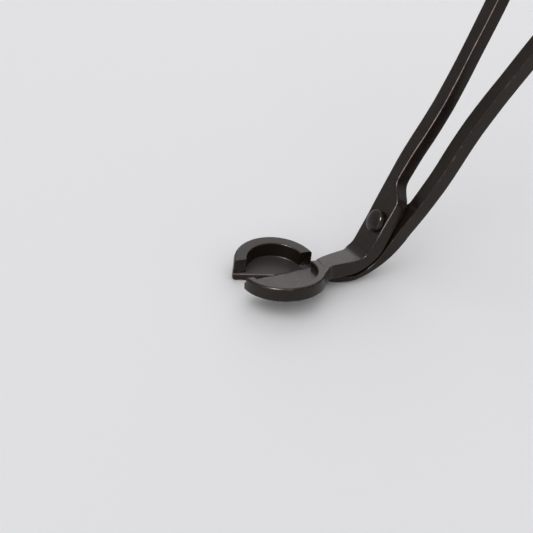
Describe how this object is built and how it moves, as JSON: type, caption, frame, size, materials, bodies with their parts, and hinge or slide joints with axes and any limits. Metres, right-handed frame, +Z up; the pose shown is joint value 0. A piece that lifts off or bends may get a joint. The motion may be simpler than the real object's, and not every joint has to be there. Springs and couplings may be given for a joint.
{
  "type": "wick trimmer",
  "caption": "Scissor-type candle wick trimmer: bent levers on a rivet, round tray head split into blades, long legs with oval finger loops.",
  "frame": {"origin": "centre of the round head, on the flat underside of the lower blade, which rests on the wax", "axes": "+Z up from the wax; the handles rise along +X at 60.6 degrees; +Y towards the half of the head with the deep rim"},
  "size_m": [0.1082, 0.0861, 0.1292],
  "materials": {
    "lower_lever_coating": "satin black coating on steel, worn bright along the ground cutting edge",
    "upper_lever_coating": "satin black coating on steel, worn bright along the edges",
    "rivet_coating": "smooth black coating on a steel rivet head"
  },
  "bodies": {
    "lower": {"lower_lever": "lower_lever_coating", "pivot_rivet": "rivet_coating"},
    "upper": {"upper_lever": "upper_lever_coating"}
  },
  "joints": [
    {"name": "pivot", "type": "hinge", "parent": "lower", "child": "upper", "pos_m": [0.0307, 0, 0.0125], "axis": [-0.8712, 0, 0.4909], "range_deg": [-14, 20]}
  ]
}
